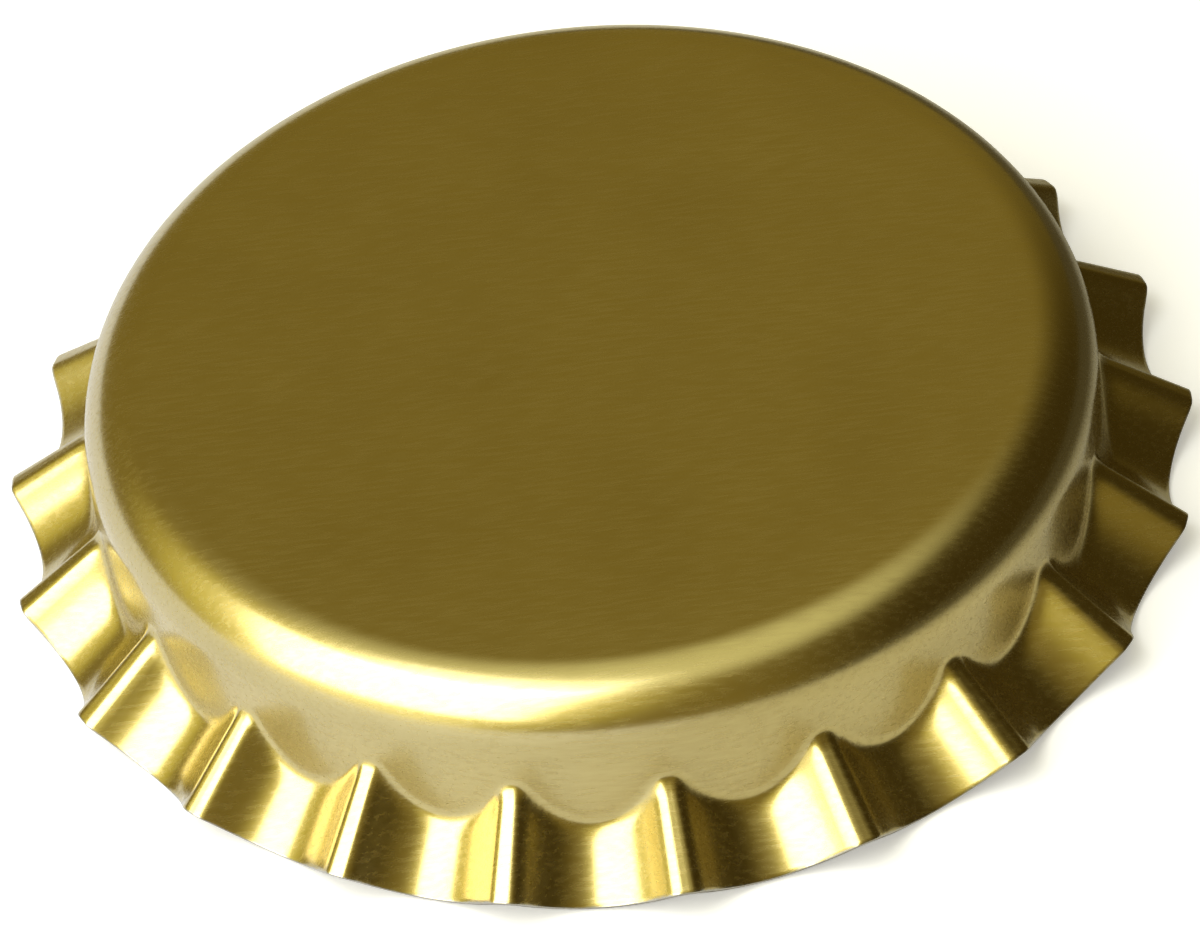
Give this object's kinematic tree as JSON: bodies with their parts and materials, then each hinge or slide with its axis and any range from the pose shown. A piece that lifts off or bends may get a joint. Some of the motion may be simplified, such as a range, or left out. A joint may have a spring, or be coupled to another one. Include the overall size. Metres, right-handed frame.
{
  "type": "bottle cap",
  "caption": "Pressed metal bottle cap with a plain round top, a fluted flared skirt and a moulded sealing liner, open side down.",
  "frame": {"origin": "on the cap's axis, at the plane that the foot of the skirt rests on", "axes": "+Z is the cap's axis, from the open side up to the top panel; +X passes through the middle of a flute crest"},
  "size_m": [0.0319, 0.032, 0.006],
  "materials": {
    "gold_lacquered_sheet": "satin gold lacquer over tinned sheet",
    "liner": "moulded, slightly glossy"
  },
  "bodies": {
    "root": {"metal_shell": "gold_lacquered_sheet", "sealing_liner": "liner"}
  },
  "joints": []
}
